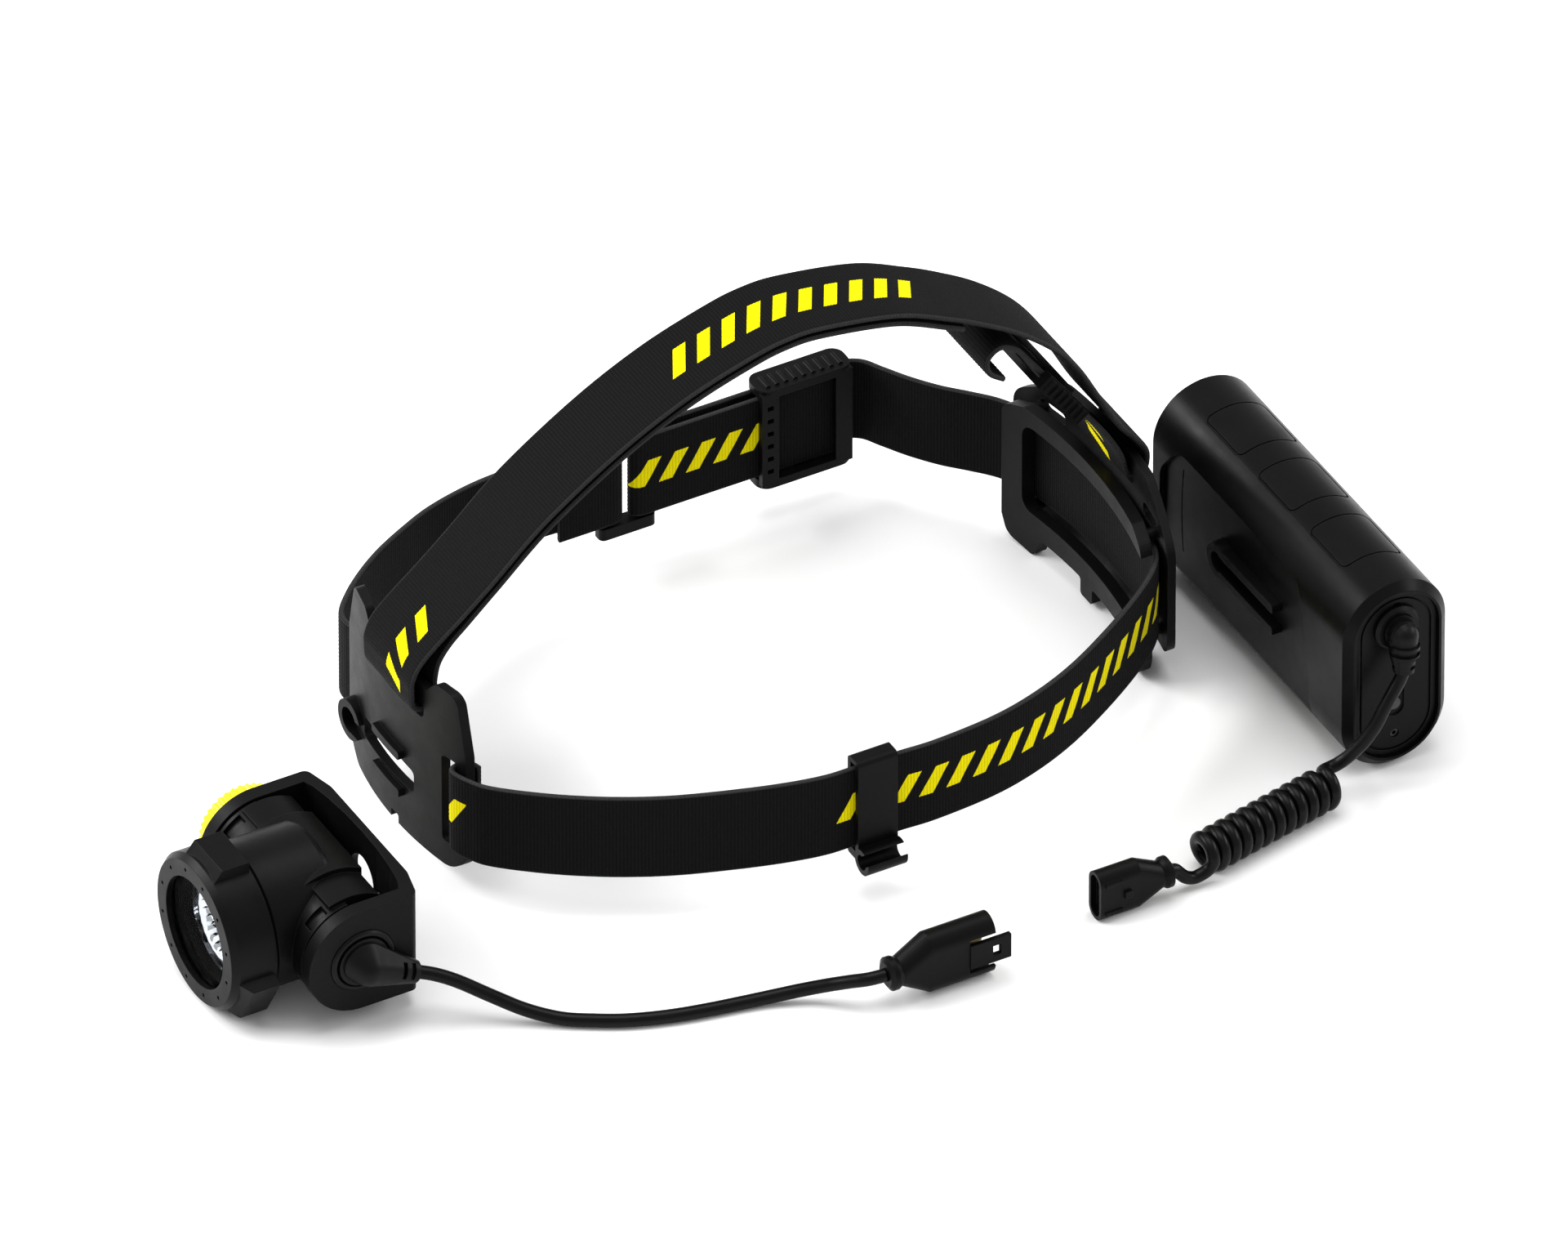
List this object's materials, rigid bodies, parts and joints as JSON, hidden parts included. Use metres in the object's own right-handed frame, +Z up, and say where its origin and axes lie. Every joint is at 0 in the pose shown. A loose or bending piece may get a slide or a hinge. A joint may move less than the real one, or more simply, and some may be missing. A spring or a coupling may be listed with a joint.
{
  "type": "headlamp",
  "caption": "Cap lamp on a woven headband: tilting lamp head with focusing bezel, clip-on bracket, plug-in cord and separate battery pack on a curly cord.",
  "frame": {"origin": "on the floor, under the middle of the box round everything but the cords", "axes": "+Z up, the lamp shines towards -Y, +X is the wearer's left"},
  "size_m": [0.2011, 0.3258, 0.1273],
  "materials": {
    "webbing": "fine woven polyester elastic, black with printed yellow dashes",
    "black_plastic": "fine eroded texture, soft sheen",
    "grained_plastic": "coarse grain",
    "housing_plastic": "smooth matt with soft sheen",
    "case_plastic": "rubbery matt with a soft sheen",
    "soft_rubber": "satin moulded rubber",
    "cord_jacket": "smooth satin jacket",
    "plug_plastic": "satin overmoulding",
    "signal_yellow": "satin",
    "clear_window": "clear, polished",
    "lens_plastic": "clear moulded acrylic",
    "carrier_plastic": "plain",
    "steel": "plain bright steel",
    "aluminium": "turned",
    "brass_contacts": "gold flash",
    "circuit_board": "solder mask",
    "led_phosphor": "silicone dome over phosphor",
    "cell_wrap": "shrink sleeve",
    "light_plastic": "translucent grey"
  },
  "bodies": {
    "headband": {"head_strap": "webbing", "side_strap": "webbing", "top_strap": "webbing", "front_plate": "black_plastic", "rear_plate": "black_plastic", "rear_frame": "grained_plastic", "strap_ring": "black_plastic"},
    "size_buckle": {"size_buckle": "black_plastic"},
    "top_slider": {"top_slider": "black_plastic"},
    "cable_clip": {"cable_clip": "black_plastic"},
    "lamp_bracket": {"lamp_bracket": "black_plastic", "gland_ring": "soft_rubber", "bracket_screws": "steel", "friction_washers": "steel", "lamp_elbow": "soft_rubber", "lamp_cord": "cord_jacket", "lamp_plug": "plug_plastic", "lamp_plug_collar": "plug_plastic", "lamp_plug_pins": "brass_contacts"},
    "lamp_head": {"head_housing": "housing_plastic", "head_rear_cover": "housing_plastic", "cover_screws": "steel", "heat_sink": "aluminium", "led_board": "circuit_board", "led_emitter": "led_phosphor", "driver_board": "circuit_board", "dimmer_encoder": "carrier_plastic", "housing_seal": "soft_rubber"},
    "focus_bezel": {"focus_bezel": "housing_plastic", "front_window": "clear_window", "window_seal": "soft_rubber"},
    "lens_carrier": {"lens_carrier": "carrier_plastic", "focus_lens": "lens_plastic"},
    "dimmer_knob": {"dimmer_knob": "signal_yellow", "knob_shaft": "steel", "button_spring": "steel"},
    "power_button": {"power_button": "soft_rubber"},
    "battery": {"battery_case": "case_plastic", "battery_end_cap": "case_plastic", "end_cap_seal": "soft_rubber", "end_cap_screws": "steel", "belt_rail": "case_plastic", "status_light": "light_plastic", "cell_lower": "cell_wrap", "cell_upper": "cell_wrap", "cell_spacer": "light_plastic", "charge_board": "circuit_board", "contact_strips": "steel", "pack_gland": "soft_rubber", "pack_elbow": "soft_rubber", "pack_lead": "cord_jacket", "curly_cord": "cord_jacket", "curly_tail": "cord_jacket", "pack_plug": "plug_plastic", "pack_plug_collar": "plug_plastic", "pack_plug_sockets": "brass_contacts"}
  },
  "joints": [
    {"name": "bracket_lift", "type": "slide", "parent": "headband", "child": "lamp_bracket", "axis": [0, 0, 1], "range_m": [0, 0.05]},
    {"name": "battery_lift", "type": "slide", "parent": "headband", "child": "battery", "axis": [0, 0, 1], "range_m": [0, 0.05]},
    {"name": "head_tilt", "type": "hinge", "parent": "lamp_bracket", "child": "lamp_head", "pos_m": [0.0235, -0.1305, 0.0199], "axis": [1, 0, 0], "range_deg": [-10, 65]},
    {"name": "focus_turn", "type": "hinge", "parent": "lamp_head", "child": "focus_bezel", "pos_m": [0.0235, -0.155, 0.0209], "axis": [0, -1, 0], "range_deg": [0, 90]},
    {"name": "lens_focus", "type": "slide", "parent": "lamp_head", "child": "lens_carrier", "axis": [0, -1, 0], "range_m": [0, 0.0033]},
    {"name": "dimmer_turn", "type": "hinge", "parent": "lamp_head", "child": "dimmer_knob", "pos_m": [-0.009, -0.1305, 0.0199], "axis": [-1, 0, 0], "range_deg": [0, 270]},
    {"name": "power_press", "type": "slide", "parent": "dimmer_knob", "child": "power_button", "axis": [1, 0, 0], "range_m": [0, 0.001], "stiffness_N_per_m": 500, "springref_m": -0.001},
    {"name": "buckle_slide", "type": "slide", "parent": "headband", "child": "size_buckle", "axis": [0, -1, 0], "range_m": [0, 0.012]},
    {"name": "slider_slide", "type": "slide", "parent": "headband", "child": "top_slider", "axis": [0, -0.5795, 0.815], "range_m": [-0.003, 0.003]},
    {"name": "clip_slide", "type": "slide", "parent": "headband", "child": "cable_clip", "axis": [0, 1, 0], "range_m": [-0.005, 0.005]}
  ],
  "couplings": [
    {"joint": "lens_focus", "follows": "focus_turn", "m_per_rad": 0.0021}
  ]
}
